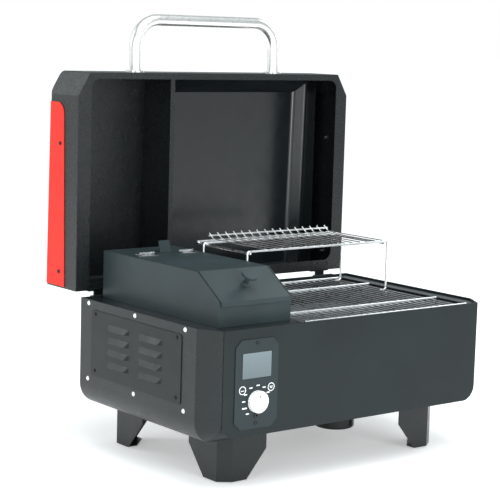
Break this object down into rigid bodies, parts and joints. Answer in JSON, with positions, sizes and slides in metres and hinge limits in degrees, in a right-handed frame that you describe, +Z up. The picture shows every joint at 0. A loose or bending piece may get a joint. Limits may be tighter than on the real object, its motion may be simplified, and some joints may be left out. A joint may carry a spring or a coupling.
{
  "type": "portable pellet grill",
  "caption": "Portable tabletop wood-pellet smoker grill with its lid open, red lid saddle, stainless handle, side pellet hopper and wire racks.",
  "frame": {"origin": "on the floor, under the middle of the bounding box with the lid open", "axes": "+X to the grill's right seen from the front, +Y to the back where the lid hinges, +Z up"},
  "size_m": [0.6296, 0.5215, 0.7664],
  "materials": {
    "charcoal_powder_coat": "textured satin",
    "charcoal_smooth": "satin",
    "red_coat": "satin",
    "stainless": "brushed",
    "chrome_wire": "polished",
    "galvanised": "satin",
    "black_enamel": "satin",
    "white_rivet": "gloss",
    "knob_silver": "satin",
    "black_plastic": "matte",
    "display_glass": "gloss",
    "board_green": "satin",
    "rubber": "matte",
    "zinc_screw": "satin",
    "cast_zinc": "satin"
  },
  "bodies": {
    "firebox": {"body_tub": "charcoal_smooth", "left_end_cap": "charcoal_powder_coat", "right_end_cap": "charcoal_powder_coat", "front_panel": "charcoal_smooth", "top_deck": "charcoal_powder_coat", "chamber_liner": "black_enamel", "vent_panel": "charcoal_powder_coat", "vent_panel_screws": "black_plastic", "end_cap_rivets": "white_rivet", "control_panel": "charcoal_smooth", "control_panel_screws": "black_plastic", "display_window": "display_glass", "control_board": "board_green", "dial_encoder": "cast_zinc", "probe_jack": "zinc_screw", "hopper_box": "charcoal_smooth", "hopper_funnel": "galvanised", "hopper_hinge_fixed": "stainless", "hopper_stop_bracket": "charcoal_smooth", "auger_tube": "galvanised", "auger_motor": "cast_zinc", "fire_pot": "stainless", "igniter_rod": "stainless", "fan_housing": "black_plastic", "power_inlet": "black_plastic", "switch_bezel": "black_plastic", "foot_front_left": "charcoal_powder_coat", "foot_front_right": "charcoal_powder_coat", "foot_back_left": "charcoal_powder_coat", "foot_back_right": "charcoal_powder_coat", "foot_pads": "rubber", "foot_screws": "zinc_screw", "lid_hinge_brackets": "stainless", "lid_hinge_pins": "zinc_screw"},
    "lid": {"lid_wrap": "charcoal_powder_coat", "lid_left_cap": "charcoal_powder_coat", "lid_right_cap": "charcoal_powder_coat", "lid_rim_frame": "charcoal_powder_coat", "lid_divider": "charcoal_powder_coat", "lid_liner": "charcoal_smooth", "lid_cover": "red_coat", "lid_cover_screws": "zinc_screw", "lid_cover_nuts": "zinc_screw", "handle_tube": "stainless", "handle_flanges": "stainless", "handle_bolts": "zinc_screw", "lid_hinge_leaves": "stainless", "lid_hinge_screws": "zinc_screw"},
    "hopper_door": {"hopper_lid": "charcoal_smooth", "hopper_knob": "knob_silver", "hopper_hinge_moving": "stainless"},
    "dial": {"selector_knob": "knob_silver"},
    "rocker": {"power_rocker": "black_plastic"},
    "baffle": {"heat_baffle": "galvanised"},
    "tray": {"drip_tray": "galvanised"},
    "grate": {"main_grate": "chrome_wire"},
    "rack": {"warming_rack": "chrome_wire"},
    "ash_cup_body": {"ash_cup": "black_enamel"},
    "auger_screw": {"auger": "galvanised"},
    "fan": {"fan_rotor": "black_plastic"}
  },
  "joints": [
    {"name": "lid_hinge", "type": "hinge", "parent": "firebox", "child": "lid", "pos_m": [0.00168, 0.14885, 0.2632], "axis": [1, 0, 0], "range_deg": [0, 90]},
    {"name": "hopper_lid_hinge", "type": "hinge", "parent": "firebox", "child": "hopper_door", "pos_m": [-0.18932, 0.04845, 0.3526], "axis": [1, 0, 0], "range_deg": [-110, 0]},
    {"name": "dial_turn", "type": "hinge", "parent": "firebox", "child": "dial", "pos_m": [-0.21613, -0.25635, 0.1483], "axis": [0, 1, 0], "range_deg": [-140, 140]},
    {"name": "power_rocker_tip", "type": "hinge", "parent": "firebox", "child": "rocker", "pos_m": [-0.15832, 0.12765, 0.122], "axis": [1, 0, 0], "range_deg": [0, 10]},
    {"name": "baffle_lift", "type": "slide", "parent": "firebox", "child": "baffle", "axis": [0, 0, -1], "range_m": [-0.25, 0]},
    {"name": "drip_tray_lift", "type": "slide", "parent": "baffle", "child": "tray", "axis": [0, 0, -1], "range_m": [-0.25, 0]},
    {"name": "grate_lift", "type": "slide", "parent": "tray", "child": "grate", "axis": [0, 0, -1], "range_m": [-0.25, 0]},
    {"name": "rack_lift", "type": "slide", "parent": "grate", "child": "rack", "axis": [0, 0, -1], "range_m": [-0.25, 0]},
    {"name": "ash_cup_twist", "type": "hinge", "parent": "firebox", "child": "ash_cup_body", "pos_m": [0.08668, -0.09835, 0.06], "axis": [0, 0, 1], "range_deg": [0, 80]},
    {"name": "auger_turn", "type": "hinge", "parent": "firebox", "child": "auger_screw", "pos_m": [-0.09832, -0.09835, 0.122], "axis": [1, 0, 0], "continuous": true},
    {"name": "fan_spin", "type": "hinge", "parent": "firebox", "child": "fan", "pos_m": [-0.28182, 0.02965, 0.152], "axis": [1, 0, 0], "continuous": true}
  ]
}
